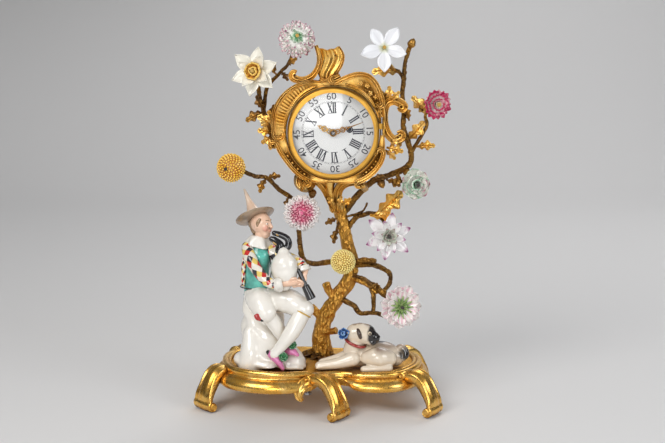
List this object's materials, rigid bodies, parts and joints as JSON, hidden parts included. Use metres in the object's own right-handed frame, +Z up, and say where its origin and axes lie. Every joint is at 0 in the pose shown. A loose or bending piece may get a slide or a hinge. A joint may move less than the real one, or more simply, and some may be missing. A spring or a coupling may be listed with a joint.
{
  "type": "figural clock",
  "caption": "Rococo table clock: a gilt tree on a scroll-footed base carries a drum clock, porcelain flowers, a seated musician and a pug.",
  "frame": {"origin": "on the table, under the middle of the object's bounding box", "axes": "+Z up, -Y towards the viewer of the dial, +X to the viewer's right"},
  "size_m": [0.2282, 0.1428, 0.3406],
  "materials": {
    "gilt_bronze": "burnished gilding",
    "matt_gilding": "matt chased gilding",
    "leaf_gilding": "satin gilding",
    "patinated_bronze": "brown patina over gilding",
    "case_brass": "satin",
    "movement_brass": "polished",
    "gilt_hand": "pierced gilding",
    "steel": "polished",
    "dial_enamel": "glossy enamel",
    "glass": "clear",
    "piper_porcelain": "painted glaze",
    "pug_porcelain": "painted glaze",
    "narcissus_porcelain": "painted glaze",
    "posy_porcelain": "painted glaze",
    "jasmine_porcelain": "painted glaze",
    "aster_porcelain": "painted glaze",
    "rose_porcelain": "painted glaze",
    "tulip_porcelain": "painted glaze",
    "anemone_porcelain": "painted glaze",
    "button_porcelain": "painted glaze",
    "pompon_porcelain": "painted glaze",
    "ball_porcelain": "painted glaze"
  },
  "bodies": {
    "stand": {"base_plate": "gilt_bronze", "foot_left": "gilt_bronze", "foot_front": "gilt_bronze", "foot_right": "gilt_bronze", "foot_rear_right": "gilt_bronze", "foot_rear_left": "gilt_bronze", "base_fasteners": "steel", "piper_figure": "piper_porcelain", "pug_figure": "pug_porcelain", "trunk": "matt_gilding", "left_bough": "patinated_bronze", "low_bough": "patinated_bronze", "leafy_bough": "patinated_bronze", "right_bough": "patinated_bronze", "crown_bough": "patinated_bronze", "leaves": "leaf_gilding", "acorns": "leaf_gilding", "flower_narcissus": "narcissus_porcelain", "flower_posy": "posy_porcelain", "flower_jasmine": "jasmine_porcelain", "flower_aster": "aster_porcelain", "flower_rose": "rose_porcelain", "flower_tulip": "tulip_porcelain", "flower_anemone": "anemone_porcelain", "flower_button": "button_porcelain", "flower_pompon": "pompon_porcelain", "flower_ball": "ball_porcelain", "flower_pins": "steel", "case_drum": "case_brass", "case_surround": "gilt_bronze", "case_crest": "gilt_bronze", "side_scroll": "gilt_bronze", "case_foot": "gilt_bronze", "hinge_pins": "steel", "dial": "dial_enamel", "front_plate": "movement_brass", "back_plate": "movement_brass", "pillars": "movement_brass", "assembly_screws": "steel", "click": "steel", "back_cock": "movement_brass"},
    "bezel_door": {"bezel": "gilt_bronze", "glass": "glass"},
    "rear_door": {"rear_door": "case_brass"},
    "minute_hand": {"cannon_pinion": "movement_brass", "minute_hand": "gilt_hand"},
    "hour_hand": {"hour_wheel": "movement_brass", "hour_hand": "gilt_hand"},
    "minute_wheel": {"minute_wheel": "movement_brass"},
    "centre_wheel": {"centre_wheel": "movement_brass"},
    "third_wheel": {"third_wheel": "movement_brass"},
    "fourth_wheel": {"fourth_wheel": "movement_brass"},
    "escape_wheel": {"escape_wheel": "movement_brass"},
    "barrel": {"barrel": "movement_brass", "mainspring": "steel"},
    "winding_arbor": {"barrel_arbor": "steel", "ratchet_wheel": "steel"},
    "pendulum": {"pallets": "steel", "pendulum_rod": "steel", "pendulum_bob": "movement_brass"}
  },
  "joints": [
    {"name": "bezel_hinge", "type": "hinge", "parent": "stand", "child": "bezel_door", "pos_m": [0.0525, -0.0319, 0.252], "axis": [0, 0, 1], "range_deg": [0, 100]},
    {"name": "rear_door_hinge", "type": "hinge", "parent": "stand", "child": "rear_door", "pos_m": [0.0525, 0.0259, 0.252], "axis": [0, 0, -1], "range_deg": [0, 100]},
    {"name": "minute_hand_turn", "type": "hinge", "parent": "stand", "child": "minute_hand", "pos_m": [0.011, -0.029, 0.246], "axis": [0, 1, 0], "continuous": true},
    {"name": "hour_hand_turn", "type": "hinge", "parent": "stand", "child": "hour_hand", "pos_m": [0.011, -0.029, 0.246], "axis": [0, 1, 0], "continuous": true},
    {"name": "minute_wheel_turn", "type": "hinge", "parent": "stand", "child": "minute_wheel", "pos_m": [0.0023, -0.021, 0.24194], "axis": [0, 1, 0], "continuous": true},
    {"name": "fourth_wheel_turn", "type": "hinge", "parent": "stand", "child": "fourth_wheel", "pos_m": [-0.00053, -0.01, 0.26332], "axis": [0, 1, 0], "continuous": true},
    {"name": "third_wheel_turn", "type": "hinge", "parent": "stand", "child": "third_wheel", "pos_m": [-0.00169, -0.002, 0.25062], "axis": [0, 1, 0], "continuous": true},
    {"name": "centre_wheel_turn", "type": "hinge", "parent": "stand", "child": "centre_wheel", "pos_m": [0.011, -0.005, 0.246], "axis": [0, 1, 0], "continuous": true},
    {"name": "barrel_turn", "type": "hinge", "parent": "stand", "child": "barrel", "pos_m": [0.02514, -0.01, 0.24875], "axis": [0, 1, 0], "continuous": true},
    {"name": "escape_wheel_turn", "type": "hinge", "parent": "stand", "child": "escape_wheel", "pos_m": [0.011, 0, 0.26], "axis": [0, 1, 0], "continuous": true},
    {"name": "winding_turn", "type": "hinge", "parent": "stand", "child": "winding_arbor", "pos_m": [0.02514, -0.01, 0.24875], "axis": [0, 1, 0], "range_deg": [0, 1800]},
    {"name": "pendulum_swing", "type": "hinge", "parent": "stand", "child": "pendulum", "pos_m": [0.011, 0.0086, 0.2694], "axis": [0, 1, 0], "range_deg": [-6, 6]}
  ],
  "couplings": [
    {"joint": "minute_wheel_turn", "follows": "minute_hand_turn", "ratio": -0.33333},
    {"joint": "hour_hand_turn", "follows": "minute_hand_turn", "ratio": 0.083333},
    {"joint": "third_wheel_turn", "follows": "fourth_wheel_turn", "ratio": -0.13333},
    {"joint": "centre_wheel_turn", "follows": "fourth_wheel_turn", "ratio": 0.016667},
    {"joint": "barrel_turn", "follows": "fourth_wheel_turn", "ratio": -0.0026882},
    {"joint": "escape_wheel_turn", "follows": "fourth_wheel_turn", "ratio": -7}
  ]
}
